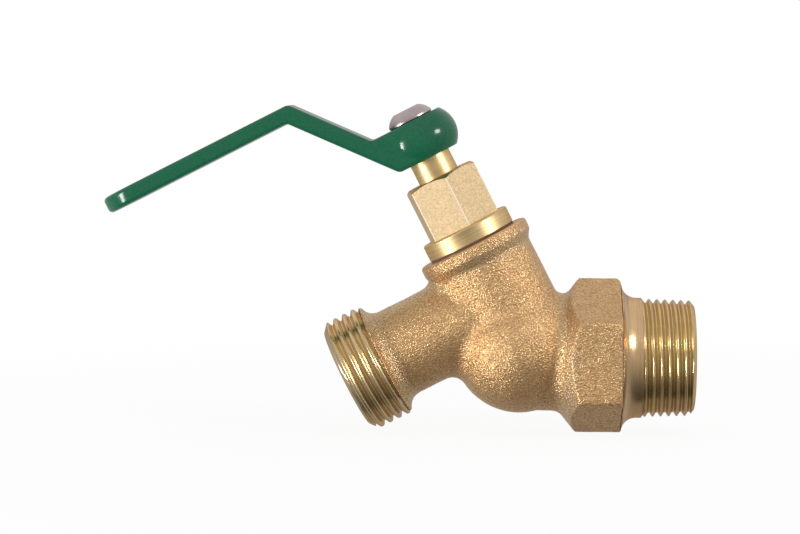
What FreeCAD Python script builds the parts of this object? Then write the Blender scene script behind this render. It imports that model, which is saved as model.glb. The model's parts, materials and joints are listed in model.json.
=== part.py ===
import FreeCAD, Part
import math
import os

from FreeCAD import Placement, Rotation, Vector

# A quarter-turn hose bibb with a cranked lever, in millimetres and degrees.
#
# The origin is on the inlet's axis, where its thread starts at the neck. +X points out of the
# inlet and +Z is up.
# The stem leans away from the inlet, and the outlet runs square to the stem, down towards -X.
# The two axes cross at the crossing, and everything on the stem is drawn in the stem's frame:
# its z is the height above the crossing and its x runs across, away from the outlet.
# The lever is drawn open, over the outlet. Threads are plain cylinders at their major diameter.

# The axes
STEM_TILT = 27.0
CROSSING_X = -31.7
CROSSING_Z = 12.95

# Inlet: 3/4 inch pipe thread, machined neck, the spanner's hexagon and the flare behind it
INLET_THREAD_D = 26.6
INLET_THREAD_LENGTH = 12.0
INLET_CHAMFER_DEPTH = 1.5
INLET_CHAMFER_LENGTH = 1.7
INLET_NECK_D = 27.4
INLET_NECK_LENGTH = 2.7
INLET_NECK_FILLET = 1.9
SPANNER_HEX_AF = 31.4
SPANNER_HEX_CORNERS_D = 36.3
SPANNER_HEX_GROUND_CORNER = 16.9
SPANNER_HEX_LENGTH = 9.5
SPANNER_HEX_CHAMFER = 0.9
FLARE_ANGLE = 52.5
FLARE_RADIUS = 3.4
BELLY_D = 24.2

# Outlet: 3/4 inch hose thread on a cast neck, from the crossing outwards
OUTLET_LENGTH = 39.5
HOSE_THREAD_D = 27.0
HOSE_THREAD_LENGTH = 9.0
HOSE_CHAMFER_DEPTH = 2.0
HOSE_CHAMFER_LENGTH = 2.0
OUTLET_NECK_D = 20.5
OUTLET_LIP_D = 26.2
OUTLET_LIP_LENGTH = 0.9
OUTLET_FLARE_LENGTH = 3.4

# Globe and the neck that carries the headwork
GLOBE_D = 29.6
GLOBE_BELOW_CROSSING = 11.4
GLOBE_TO_OUTLET = 1.35
NECK_D = 23.8
RING_D = 26.2
RING_TOP = 14.85
RING_HEIGHT = 2.6
RING_TAPER_LENGTH = 2.1
RING_EDGE_ROUND = 0.6

# Blends between the cast forms
GLOBE_BLEND = 4.0
INLET_BLEND = 2.2
OUTLET_BLEND = 3.4

# Waterway
INLET_BORE_D = 16.0
INLET_BORE_LENGTH = 28.0
INLET_BORE_POINT_ANGLE = 118.0
PASSAGE_D = 13.2
PASSAGE_DROP = 2.3
PASSAGE_END_X = -26.0
OUTLET_BORE_D = 16.0
BORE_INTO_CHAMBER = 0.75
CHAMBER_D = 18.8
CHAMBER_FLOOR_BELOW_SEAT = 1.0
SEAT_BELOW_CROSSING = 7.5
SEAT_HOLE_D = 11.0
SEAT_LIP_D = 15.8
SEAT_HOLE_DEPTH = 7.0

# Headwork housing, turned from hexagon bar
GASKET_THICKNESS = 0.5
GASKET_D = 20.6
GASKET_CLEARANCE = 0.1
SHANK_THREAD_D = 18.0
SHANK_THREAD_CLEARANCE = 0.05
SHANK_THREAD_LENGTH = 7.3
COLLAR_D = 20.94
COLLAR_HEIGHT = 3.7
COLLAR_EDGE_ROUND = 0.5
BONNET_HEX_AF = 16.0
BONNET_HEX_LENGTH = 12.75
BONNET_HEX_TURN = 9.0
BONNET_HEX_CHAMFER_ANGLE = 30.0
BONNET_HEX_FACE_D = 15.4
CAGE_D = 17.0
CAGE_BORE_D = 14.9
LEG_BORE_D = 12.9
WINDOW_TOP_BELOW_SHANK = 0.5
SHOULDER_ABOVE_COLLAR_FOOT = 2.1
DISC_TO_LEGS = 0.3
CAGE_ABOVE_SEAT = 0.6

# Stem, in the housing
JOURNAL_D = 9.6
JOURNAL_CLEARANCE = 0.05
STEM_SHOWING = 4.8
FLANGE_D = 12.0
FLANGE_THICKNESS = 2.2
WASHER_THICKNESS = 0.8
WASHER_FACE_CLEARANCE = 0.05
WASHER_BORE_CLEARANCE = 0.05
WASHER_RIM_CLEARANCE = 0.1
LOWER_SHAFT_D = 8.0
DRIVE_BAR_LENGTH = 14.3
DRIVE_BAR_WIDTH = 2.9
DRIVE_BAR_HEIGHT = 1.9
QUARTER_TURN = 90.0
STOP_PLAY_ANGLE = 0.6
O_RING_SECTION = 1.36
O_RING_SQUEEZE_ROOM = 0.02
O_RING_GROOVE_WIDTH = 1.8
LOWER_GROOVE_ABOVE_SHOULDER = 3.4
UPPER_GROOVE_ABOVE_SHOULDER = 8.0
SQUARE_AF = 6.7
SQUARE_CLEARANCE = 0.05
SQUARE_BELOW_BOSS_TOP = 0.4
TAPPED_HOLE_DEPTH = 9.0

# Ceramic discs and the seal under them
DISC_D = 14.6
DISC_THICKNESS = 2.8
DISC_PORT_ANGLE = 76.0
DISC_PORT_OUTER_D = 12.0
DISC_PORT_INNER_D = 3.6
DISC_SLOT_DEPTH = 1.2
DISC_SLOT_CLEARANCE = 0.05
DISC_FACE_CLEARANCE = 0.02
EAR_WIDTH = 3.0
EAR_CLEARANCE = 0.1
SEAL_THICKNESS = 2.5
SEAL_D = 14.5
SEAL_BORE_D = 11.9
SUPPORT_RING_WALL = 0.7
SUPPORT_RING_CLEARANCE = 0.05
SUPPORT_RING_SHORTER = 0.3

# Lever, painted casting
BOSS_HEIGHT = 9.25
BOSS_FACE_D = 14.0
BOSS_WAIST_D = 17.74
ARM_ROOT_IN_BOSS = 6.5
ARM_THICKNESS = 4.0
ARM_RISE_ANGLE = 50.3
ARM_TOP_START = 9.8
LEVEL_ARM_ABOVE_BOSS = 15.85
LEVEL_ARM_THICKNESS = 3.75
LEVER_REACH = 70.8
LEVER_WIDTH_AT_BOSS = 15.0
LEVER_WIDTH_AT_TIP = 17.2
LEVER_EDGE_ROUND = 1.0
BEND_OUTER_ROUND = 1.8
BEND_INNER_ROUND = 1.4
ARM_FOOT_ROUND = 1.8

# Handle screw
SCREW_HEAD_D = 10.6
SCREW_HEAD_HEIGHT = 2.85
SCREW_HEAD_FLAT_D = 6.0
SCREW_RIM_HEIGHT = 0.6
SCREW_RIM_CHAMFER = 0.25
SCREW_DOME_BULGE = 0.3
SCREW_THREAD_D = 4.0
SCREW_THREAD_CLEARANCE = 0.03
SCREW_LENGTH = 8.0
SCREW_RECESS_WIDTH = 1.1
SCREW_RECESS_LENGTH = 4.6
SCREW_RECESS_DEPTH = 1.5

# Heights in the stem's frame, worked out from the sizes above
SEAT = -SEAT_BELOW_CROSSING
CHAMBER_FLOOR = SEAT - CHAMBER_FLOOR_BELOW_SEAT
LOWER_DISC_FOOT = SEAT + SEAL_THICKNESS
UPPER_DISC_FOOT = LOWER_DISC_FOOT + DISC_THICKNESS + DISC_FACE_CLEARANCE
UPPER_DISC_TOP = UPPER_DISC_FOOT + DISC_THICKNESS
LEGS_FOOT = UPPER_DISC_TOP + DISC_TO_LEGS
COLLAR_FOOT = RING_TOP + GASKET_THICKNESS
COLLAR_TOP = COLLAR_FOOT + COLLAR_HEIGHT
BONNET_TOP = COLLAR_TOP + BONNET_HEX_LENGTH
SHANK_FOOT = COLLAR_FOOT - SHANK_THREAD_LENGTH
CAGE_FOOT = SEAT + CAGE_ABOVE_SEAT
WINDOW_TOP = SHANK_FOOT - WINDOW_TOP_BELOW_SHANK
SHOULDER = COLLAR_FOOT + SHOULDER_ABOVE_COLLAR_FOOT
FLANGE_TOP = SHOULDER - WASHER_THICKNESS - 2 * WASHER_FACE_CLEARANCE
FLANGE_FOOT = FLANGE_TOP - FLANGE_THICKNESS
DRIVE_BAR_FOOT = UPPER_DISC_TOP - DISC_SLOT_DEPTH + DISC_SLOT_CLEARANCE
DRIVE_BAR_TOP = UPPER_DISC_TOP + DRIVE_BAR_HEIGHT
BOSS_FOOT = BONNET_TOP + STEM_SHOWING
BOSS_TOP = BOSS_FOOT + BOSS_HEIGHT
SQUARE_TOP = BOSS_TOP - SQUARE_BELOW_BOSS_TOP
LEVEL_ARM_TOP = BOSS_TOP + LEVEL_ARM_ABOVE_BOSS
LOWER_GROOVE = SHOULDER + LOWER_GROOVE_ABOVE_SHOULDER
UPPER_GROOVE = SHOULDER + UPPER_GROOVE_ABOVE_SHOULDER
GROOVE_FLOOR_D = JOURNAL_D + 2 * JOURNAL_CLEARANCE - 2 * (O_RING_SECTION + 2 * O_RING_SQUEEZE_ROOM)

# Places along the inlet
HEX_FRONT = -INLET_NECK_LENGTH - INLET_NECK_FILLET
INLET_BORE_END = INLET_THREAD_LENGTH - INLET_BORE_LENGTH
HEX_BACK = HEX_FRONT - SPANNER_HEX_LENGTH

# The drive bar turns a quarter turn between the legs, and stands at one end of it when open
BAR_HALF_ANGLE = math.degrees(math.asin(DRIVE_BAR_WIDTH / LEG_BORE_D))
WINDOW_ANGLE = QUARTER_TURN + 2 * BAR_HALF_ANGLE + 2 * STOP_PLAY_ANGLE
BAR_OPEN_ANGLE = QUARTER_TURN / 2

ORIGIN = Vector(0, 0, 0)
UP = Vector(0, 0, 1)
ALONG_INLET = Vector(1, 0, 0)
TILT = math.radians(STEM_TILT)
ALONG_OUTLET = Vector(-math.cos(TILT), 0, -math.sin(TILT))
CROSSING = Vector(CROSSING_X, 0, CROSSING_Z)
GLOBE_X = CROSSING_X + GLOBE_BELOW_CROSSING * math.sin(TILT) - GLOBE_TO_OUTLET * math.cos(TILT)

# A piece drawn upright goes onto an axis by one of these
STEM_FRAME = Placement(CROSSING, Rotation(Vector(0, 1, 0), -STEM_TILT))
OUTLET_FRAME = Placement(CROSSING, Rotation(UP, ALONG_OUTLET))
INLET_FRAME = Placement(ORIGIN, Rotation(UP, ALONG_INLET))


def at(across, height):
    """A point of an outline, which lies in the plane y = 0."""
    return Vector(across, 0, height)


def outline(start, *steps):
    """A closed wire. A step is the next point, or the middle and the end of an arc."""
    edges = []
    here = start
    for step in list(steps) + [start]:
        if isinstance(step, Vector):
            if here.distanceToPoint(step) > 1e-6:
                edges.append(Part.LineSegment(here, step).toShape())
            here = step
        else:
            middle, end = step
            edges.append(Part.Arc(here, middle, end).toShape())
            here = end
    return Part.Wire(edges)


def turned(start, *steps):
    """A solid of revolution about the upright axis."""
    face = Part.Face(outline(start, *steps))
    return face.revolve(ORIGIN, UP, 360)


def cylinder(diameter, foot, top):
    """An upright cylinder between two heights."""
    return Part.makeCylinder(diameter / 2, top - foot, at(0, foot), UP)


def ring(outer_diameter, inner_diameter, foot, top):
    """An upright ring of square section."""
    return cylinder(outer_diameter, foot, top).cut(cylinder(inner_diameter, foot, top))


def prism(sides, across_flats, foot, top, corner_angle):
    """An upright prism of even sides, with one corner at the angle given."""
    radius = across_flats / 2 / math.cos(math.pi / sides)
    corners = []
    for index in range(sides + 1):
        angle = math.radians(corner_angle + index * 360 / sides)
        corners.append(Vector(radius * math.cos(angle), radius * math.sin(angle), foot))
    face = Part.Face(Part.makePolygon(corners))
    return face.extrude(UP * (top - foot))


def sector(outer_diameter, inner_diameter, foot, top, middle_angle, width_angle):
    """A part of a ring, width_angle wide about middle_angle."""
    if inner_diameter > 0:
        inner = at(inner_diameter / 2, foot)
    else:
        inner = at(0, foot)
    outer = at(outer_diameter / 2, foot)
    lift = UP * (top - foot)
    wall = Part.Face(Part.makePolygon([inner, outer, outer + lift, inner + lift, inner]))
    solid = wall.revolve(ORIGIN, UP, width_angle)
    solid.rotate(ORIGIN, UP, middle_angle - width_angle / 2)
    return solid


def bar(length, width, foot, top, angle):
    """An upright block centred on the axis, with its length turned to the angle."""
    solid = Part.makeBox(length, width, top - foot, Vector(-length / 2, -width / 2, foot))
    solid.rotate(ORIGIN, UP, angle)
    return solid


def placed(shape, frame):
    """A copy of an upright shape, put onto its axis."""
    moved = shape.copy()
    moved.Placement = frame.multiply(moved.Placement)
    return moved


def lies_on(point, shape):
    """True where the point is on the shape's surface."""
    return Part.Vertex(point).distToShape(shape.Shells[0])[0] < 1e-4


def blended(first, second, radius):
    """The two solids as one casting, with a fillet along the line where they meet."""
    joined = first.fuse(second)
    seam = []
    for edge in joined.Edges:
        if edge.Length < 1e-3 or edge.Degenerated:
            continue
        middle = edge.valueAt((edge.FirstParameter + edge.LastParameter) / 2)
        if lies_on(middle, first) and lies_on(middle, second):
            seam.append(edge)
    return joined.makeFillet(radius, seam)


def globe_and_neck():
    """The globe under the seat, and the neck that rises from it, below the ring."""
    centre = at(-GLOBE_TO_OUTLET, -GLOBE_BELOW_CROSSING)
    globe = Part.makeSphere(GLOBE_D / 2, centre, UP)
    neck = cylinder(NECK_D, -GLOBE_BELOW_CROSSING, RING_TOP)
    return placed(blended(globe, neck, GLOBE_BLEND), STEM_FRAME)


def inlet_flare():
    """The round form that the hexagon is cut from, and the flare behind it."""
    slope = math.radians(FLARE_ANGLE)
    corner = SPANNER_HEX_CORNERS_D / 2
    belly = BELLY_D / 2
    arc_end = belly + FLARE_RADIUS * (1 - math.cos(slope))
    arc_end_x = HEX_BACK - (corner - arc_end) / math.tan(slope)
    arc_start_x = arc_end_x - FLARE_RADIUS * math.sin(slope)
    arc_middle = at(belly + FLARE_RADIUS * (1 - math.cos(slope / 2)),
                    arc_start_x + FLARE_RADIUS * math.sin(slope / 2))
    round_end = belly * math.sqrt(0.5)
    form = turned(at(0, GLOBE_X - belly),
                  (at(round_end, GLOBE_X - round_end), at(belly, GLOBE_X)),
                  at(belly, arc_start_x),
                  (arc_middle, at(arc_end, arc_end_x)),
                  at(corner, HEX_BACK),
                  at(corner, HEX_FRONT - SPANNER_HEX_CHAMFER),
                  at(corner - SPANNER_HEX_CHAMFER, HEX_FRONT),
                  at(0, HEX_FRONT))
    return placed(form, INLET_FRAME)


def hexagon_offcuts():
    """What is cut from the round form to leave the spanner's six flats."""
    flats_back = HEX_BACK - (SPANNER_HEX_CORNERS_D - SPANNER_HEX_AF) / 2
    stock = cylinder(SPANNER_HEX_CORNERS_D * 2, flats_back, HEX_FRONT)
    hexagon = prism(6, SPANNER_HEX_AF, flats_back, HEX_FRONT, 0)
    ground = Part.makeBox(SPANNER_HEX_CORNERS_D, SPANNER_HEX_CORNERS_D, HEX_FRONT - flats_back,
                          Vector(SPANNER_HEX_GROUND_CORNER, -SPANNER_HEX_CORNERS_D / 2, flats_back))
    return placed(stock.cut(hexagon.cut(ground)), INLET_FRAME)


def inlet_thread():
    """The machined neck before the hexagon, and the pipe thread with its lead-in."""
    neck = INLET_NECK_D / 2
    thread = INLET_THREAD_D / 2
    neck_back = HEX_FRONT + INLET_NECK_FILLET
    fillet = INLET_NECK_FILLET * (1 - math.sqrt(0.5))
    form = turned(at(0, HEX_FRONT),
                  at(neck + INLET_NECK_FILLET, HEX_FRONT),
                  (at(neck + fillet, HEX_FRONT + fillet), at(neck, neck_back)),
                  at(neck, 0),
                  at(thread, 0),
                  at(thread, INLET_THREAD_LENGTH - INLET_CHAMFER_LENGTH),
                  at(thread - INLET_CHAMFER_DEPTH, INLET_THREAD_LENGTH),
                  at(0, INLET_THREAD_LENGTH))
    return placed(form, INLET_FRAME)


def outlet_neck():
    """The cast neck of the outlet, which flares out to its lip."""
    thread_start = OUTLET_LENGTH - HOSE_THREAD_LENGTH
    lip_back = thread_start - OUTLET_LIP_LENGTH
    neck = OUTLET_NECK_D / 2
    rise = OUTLET_LIP_D / 2 - neck
    flare_start = lip_back - OUTLET_FLARE_LENGTH
    radius = (rise ** 2 + OUTLET_FLARE_LENGTH ** 2) / 2 / rise
    half = math.asin(OUTLET_FLARE_LENGTH / radius) / 2
    middle = at(neck + radius * (1 - math.cos(half)), flare_start + radius * math.sin(half))
    form = turned(at(0, 0),
                  at(neck, 0),
                  at(neck, flare_start),
                  (middle, at(neck + rise, lip_back)),
                  at(neck + rise, thread_start),
                  at(0, thread_start))
    return placed(form, OUTLET_FRAME)


def hose_thread():
    """The hose thread with its lead-in."""
    thread = HOSE_THREAD_D / 2
    form = turned(at(0, OUTLET_LENGTH - HOSE_THREAD_LENGTH),
                  at(thread, OUTLET_LENGTH - HOSE_THREAD_LENGTH),
                  at(thread, OUTLET_LENGTH - HOSE_CHAMFER_LENGTH),
                  at(thread - HOSE_CHAMFER_DEPTH, OUTLET_LENGTH),
                  at(0, OUTLET_LENGTH))
    return placed(form, OUTLET_FRAME)


def headwork_ring():
    """The ring on top of the neck, which the headwork screws into."""
    foot = RING_TOP - RING_HEIGHT - RING_TAPER_LENGTH
    radius = RING_D / 2
    edge = RING_EDGE_ROUND * (1 - math.sqrt(0.5))
    form = turned(at(0, foot),
                  at(NECK_D / 2, foot),
                  at(radius, foot + RING_TAPER_LENGTH),
                  at(radius, RING_TOP - RING_EDGE_ROUND),
                  (at(radius - edge, RING_TOP - edge), at(radius - RING_EDGE_ROUND, RING_TOP)),
                  at(0, RING_TOP))
    return placed(form, STEM_FRAME)


def waterway():
    """All that is hollow in the casting, from the inlet's mouth to the outlet's."""
    chamber = cylinder(CHAMBER_D, CHAMBER_FLOOR, SHANK_FOOT)
    chamber = chamber.cut(ring(SEAT_LIP_D, SEAT_HOLE_D, CHAMBER_FLOOR, SEAT))
    screw_bore_d = SHANK_THREAD_D + 2 * SHANK_THREAD_CLEARANCE
    screw_bore = cylinder(screw_bore_d, SHANK_FOOT, RING_TOP)
    seat_hole = cylinder(SEAT_HOLE_D, SEAT - SEAT_HOLE_DEPTH, SEAT)
    upright = chamber.fuse([screw_bore, seat_hole])

    radius = INLET_BORE_D / 2
    point = radius / math.tan(math.radians(INLET_BORE_POINT_ANGLE / 2))
    inlet_bore = turned(at(0, INLET_BORE_END - point),
                        at(radius, INLET_BORE_END),
                        at(radius, INLET_THREAD_LENGTH),
                        at(0, INLET_THREAD_LENGTH))

    passage_end = Vector(PASSAGE_END_X, 0, -PASSAGE_DROP)
    passage_length = INLET_BORE_END + PASSAGE_DROP - PASSAGE_END_X
    passage = Part.makeCylinder(PASSAGE_D / 2, passage_length, passage_end, ALONG_INLET)
    passage = passage.fuse(Part.makeSphere(PASSAGE_D / 2, passage_end, UP))

    outlet_bore = cylinder(OUTLET_BORE_D, CHAMBER_D / 2 - BORE_INTO_CHAMBER, OUTLET_LENGTH)
    hollow = placed(upright, STEM_FRAME)
    return hollow.fuse([placed(inlet_bore, INLET_FRAME), passage,
                        placed(outlet_bore, OUTLET_FRAME)])


def valve_body():
    """The whole casting, machined."""
    casting = blended(globe_and_neck(), inlet_flare(), INLET_BLEND)
    casting = blended(casting, outlet_neck(), OUTLET_BLEND)
    casting = casting.fuse([headwork_ring(), hose_thread()])
    casting = casting.cut(hexagon_offcuts())
    casting = casting.fuse(inlet_thread())
    return casting.cut(waterway())


def headwork_housing():
    """Hexagon, collar, screwed shank and the cage with its two windows and two legs."""
    collar = COLLAR_D / 2
    edge = COLLAR_EDGE_ROUND * (1 - math.sqrt(0.5))
    form = turned(at(0, CAGE_FOOT),
                  at(CAGE_D / 2, CAGE_FOOT),
                  at(CAGE_D / 2, SHANK_FOOT),
                  at(SHANK_THREAD_D / 2, SHANK_FOOT),
                  at(SHANK_THREAD_D / 2, COLLAR_FOOT),
                  at(collar, COLLAR_FOOT),
                  at(collar, COLLAR_TOP - COLLAR_EDGE_ROUND),
                  (at(collar - edge, COLLAR_TOP - edge), at(collar - COLLAR_EDGE_ROUND, COLLAR_TOP)),
                  at(0, COLLAR_TOP))
    bonnet_corner = BONNET_HEX_AF / 2 / math.cos(math.pi / 6)
    corner_drop = bonnet_corner - BONNET_HEX_FACE_D / 2
    corner_drop = corner_drop * math.tan(math.radians(BONNET_HEX_CHAMFER_ANGLE))
    chamfered = turned(at(0, COLLAR_TOP),
                       at(bonnet_corner, COLLAR_TOP),
                       at(bonnet_corner, BONNET_TOP - corner_drop),
                       at(BONNET_HEX_FACE_D / 2, BONNET_TOP),
                       at(0, BONNET_TOP))
    corner_angle = BONNET_HEX_TURN - 90
    hexagon = prism(6, BONNET_HEX_AF, COLLAR_TOP, BONNET_TOP, corner_angle).common(chamfered)
    housing = form.fuse(hexagon)

    journal_bore_d = JOURNAL_D + 2 * JOURNAL_CLEARANCE
    bore = turned(at(0, CAGE_FOOT),
                  at(CAGE_BORE_D / 2, CAGE_FOOT),
                  at(CAGE_BORE_D / 2, LEGS_FOOT),
                  at(LEG_BORE_D / 2, LEGS_FOOT),
                  at(LEG_BORE_D / 2, SHOULDER),
                  at(journal_bore_d / 2, SHOULDER),
                  at(journal_bore_d / 2, BONNET_TOP),
                  at(0, BONNET_TOP))
    housing = housing.cut(bore)
    for middle_angle in (0, 180):
        window = sector(CAGE_D * 2, 0, LEGS_FOOT, WINDOW_TOP, middle_angle, WINDOW_ANGLE)
        housing = housing.cut(window)
    notch_width = EAR_WIDTH + 2 * EAR_CLEARANCE
    notch_top = LOWER_DISC_FOOT + DISC_THICKNESS
    return housing.cut(bar(CAGE_D * 2, notch_width, CAGE_FOOT, notch_top, 90))


def stem():
    """Journal with two O-ring grooves, flange, lower shaft, drive bar and tapped square."""
    journal = JOURNAL_D / 2
    shaft = LOWER_SHAFT_D / 2
    form = turned(at(0, DRIVE_BAR_TOP),
                  at(shaft, DRIVE_BAR_TOP),
                  at(shaft, FLANGE_FOOT),
                  at(FLANGE_D / 2, FLANGE_FOOT),
                  at(FLANGE_D / 2, FLANGE_TOP),
                  at(journal, FLANGE_TOP),
                  at(journal, BOSS_FOOT),
                  at(0, BOSS_FOOT))
    for groove_foot in (LOWER_GROOVE, UPPER_GROOVE):
        groove_top = groove_foot + O_RING_GROOVE_WIDTH
        form = form.cut(ring(JOURNAL_D * 2, GROOVE_FLOOR_D, groove_foot, groove_top))
    drive_bar = bar(DRIVE_BAR_LENGTH, DRIVE_BAR_WIDTH, DRIVE_BAR_FOOT, DRIVE_BAR_TOP, BAR_OPEN_ANGLE)
    round_end = cylinder(DRIVE_BAR_LENGTH, DRIVE_BAR_FOOT, DRIVE_BAR_TOP)
    square = prism(4, SQUARE_AF, BOSS_FOOT, SQUARE_TOP, 45)
    hole_d = SCREW_THREAD_D + 2 * SCREW_THREAD_CLEARANCE
    hole = cylinder(hole_d, SQUARE_TOP - TAPPED_HOLE_DEPTH, SQUARE_TOP)
    return form.fuse([drive_bar.common(round_end), square]).cut(hole)


def o_ring(groove_foot):
    """An O-ring lying in its groove."""
    radius = O_RING_SECTION / 2
    middle = GROOVE_FLOOR_D / 2 + O_RING_SQUEEZE_ROOM + radius
    return Part.makeTorus(middle, radius, at(0, groove_foot + O_RING_GROOVE_WIDTH / 2), UP)


def disc_ports(foot, top):
    """The two water ports of a ceramic disc, as they stand when the tap is open."""
    ports = []
    for side in (90, 270):
        ports.append(sector(DISC_PORT_OUTER_D, DISC_PORT_INNER_D, foot, top,
                            BAR_OPEN_ANGLE + side, DISC_PORT_ANGLE))
    return ports


def upper_disc():
    """The ceramic disc that turns, with the slot for the stem's drive bar."""
    disc = cylinder(DISC_D, UPPER_DISC_FOOT, UPPER_DISC_TOP)
    slot_width = DRIVE_BAR_WIDTH + 2 * DISC_SLOT_CLEARANCE
    slot_foot = UPPER_DISC_TOP - DISC_SLOT_DEPTH
    slot = bar(DISC_D * 2, slot_width, slot_foot, UPPER_DISC_TOP, BAR_OPEN_ANGLE)
    return disc.cut([slot] + disc_ports(UPPER_DISC_FOOT, UPPER_DISC_TOP))


def lower_disc():
    """The ceramic disc that stays still, with its two ears in the cage's notches."""
    top = LOWER_DISC_FOOT + DISC_THICKNESS
    disc = cylinder(DISC_D, LOWER_DISC_FOOT, top)
    ears = bar(CAGE_D, EAR_WIDTH, LOWER_DISC_FOOT, top - EAR_CLEARANCE, 90)
    ears = ears.common(cylinder(CAGE_D - 2 * EAR_CLEARANCE, LOWER_DISC_FOOT, top))
    return disc.fuse(ears).cut(disc_ports(LOWER_DISC_FOOT, top))


def seal_support_ring():
    """The stiff ring inside the seat seal."""
    outer_d = SEAL_BORE_D - 2 * SUPPORT_RING_CLEARANCE
    foot = SEAT + SUPPORT_RING_SHORTER / 2
    top = LOWER_DISC_FOOT - SUPPORT_RING_SHORTER / 2
    return ring(outer_d, outer_d - 2 * SUPPORT_RING_WALL, foot, top)


def bonnet_gasket():
    """The thin ring under the headwork's collar."""
    inner_d = SHANK_THREAD_D + 2 * GASKET_CLEARANCE
    return ring(GASKET_D, inner_d, RING_TOP, COLLAR_FOOT)


def thrust_washer():
    """The slippery ring between the stem's flange and the housing's shoulder."""
    outer_d = LEG_BORE_D - 2 * WASHER_RIM_CLEARANCE
    inner_d = JOURNAL_D + 2 * WASHER_BORE_CLEARANCE
    return ring(outer_d, inner_d, FLANGE_TOP + WASHER_FACE_CLEARANCE, SHOULDER - WASHER_FACE_CLEARANCE)


def rounded_face(corners):
    """A flat face through the corners, each a point with the radius of its rounding."""
    edges = []
    starts = []
    ends = []
    middles = []
    count = len(corners)
    for index, (point, radius) in enumerate(corners):
        back = (corners[index - 1][0] - point).normalize()
        ahead = (corners[(index + 1) % count][0] - point).normalize()
        half = back.getAngle(ahead) / 2
        reach = radius / math.tan(half)
        starts.append(point + back * reach)
        ends.append(point + ahead * reach)
        inward = (back + ahead).normalize()
        middles.append(point + inward * (radius / math.sin(half) - radius))
    for index in range(count):
        if corners[index][1] > 0:
            edges.append(Part.Arc(starts[index], middles[index], ends[index]).toShape())
        edges.append(Part.LineSegment(ends[index], starts[(index + 1) % count]).toShape())
    return Part.Face(Part.Wire(edges))


def lever_side():
    """The lever seen from its side: a root as high as the boss, the rise and the level arm."""
    rise = math.radians(ARM_RISE_ANGLE)
    run = 1 / math.tan(rise)
    level_foot = LEVEL_ARM_TOP - LEVEL_ARM_THICKNESS
    top_bend = ARM_TOP_START + (LEVEL_ARM_TOP - BOSS_TOP) * run
    under_start = ARM_TOP_START + ARM_THICKNESS / math.sin(rise)
    under_bend = under_start + (level_foot - BOSS_TOP) * run
    under_root = under_start - BOSS_HEIGHT * run
    root = BOSS_FACE_D / 2 - ARM_ROOT_IN_BOSS
    face = rounded_face([(at(-root, BOSS_FOOT), 0),
                         (at(-under_root, BOSS_FOOT), ARM_FOOT_ROUND),
                         (at(-under_bend, level_foot), BEND_INNER_ROUND),
                         (at(-LEVER_REACH, level_foot), 0),
                         (at(-LEVER_REACH, LEVEL_ARM_TOP), 0),
                         (at(-top_bend, LEVEL_ARM_TOP), BEND_OUTER_ROUND),
                         (at(-ARM_TOP_START, BOSS_TOP), BEND_INNER_ROUND),
                         (at(-root, BOSS_TOP), 0)])
    face.translate(Vector(0, -LEVER_WIDTH_AT_TIP, 0))
    return face.extrude(Vector(0, 2 * LEVER_WIDTH_AT_TIP, 0))


def lever_plan():
    """The lever seen along the stem: it widens a little to its half-round tip."""
    root = LEVER_WIDTH_AT_BOSS / 2
    tip = LEVER_WIDTH_AT_TIP / 2
    tip_centre = tip - LEVER_REACH
    edges = [Part.LineSegment(Vector(tip_centre, -tip, 0), Vector(0, -root, 0)).toShape(),
             Part.LineSegment(Vector(0, -root, 0), Vector(0, root, 0)).toShape(),
             Part.LineSegment(Vector(0, root, 0), Vector(tip_centre, tip, 0)).toShape(),
             Part.Arc(Vector(tip_centre, tip, 0), Vector(-LEVER_REACH, 0, 0),
                      Vector(tip_centre, -tip, 0)).toShape()]
    face = Part.Face(Part.Wire(edges))
    face.translate(Vector(0, 0, BOSS_FOOT))
    return face.extrude(UP * (LEVEL_ARM_TOP - BOSS_FOOT))


def rim_edges(arm):
    """The edges along both sides of the arm and round its tip."""
    rim = []
    for edge in arm.Edges:
        middle = edge.valueAt((edge.FirstParameter + edge.LastParameter) / 2)
        ends = [vertex.Point for vertex in edge.Vertexes]
        crossing = abs(middle.y) < 1e-3 and abs(ends[0].y - ends[1].y) > 1
        upright = abs(ends[0].x - ends[1].x) < 1e-3 and abs(ends[0].y - ends[1].y) < 1e-3
        if not crossing and not upright:
            rim.append(edge)
    return rim


def lever_handle():
    """Boss and cranked lever in one casting, with soft edges and a square hole."""
    arm = lever_side().common(lever_plan()).Solids[0]
    arm = arm.makeFillet(LEVER_EDGE_ROUND, rim_edges(arm))
    waist = BOSS_WAIST_D / 2
    face = BOSS_FACE_D / 2
    boss = turned(at(0, BOSS_FOOT),
                  at(face, BOSS_FOOT),
                  (at(waist, BOSS_FOOT + BOSS_HEIGHT / 2), at(face, BOSS_TOP)),
                  at(0, BOSS_TOP))
    square_hole = prism(4, SQUARE_AF + 2 * SQUARE_CLEARANCE, BOSS_FOOT, BOSS_TOP, 45)
    return arm.fuse(boss).cut(square_hole)


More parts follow.
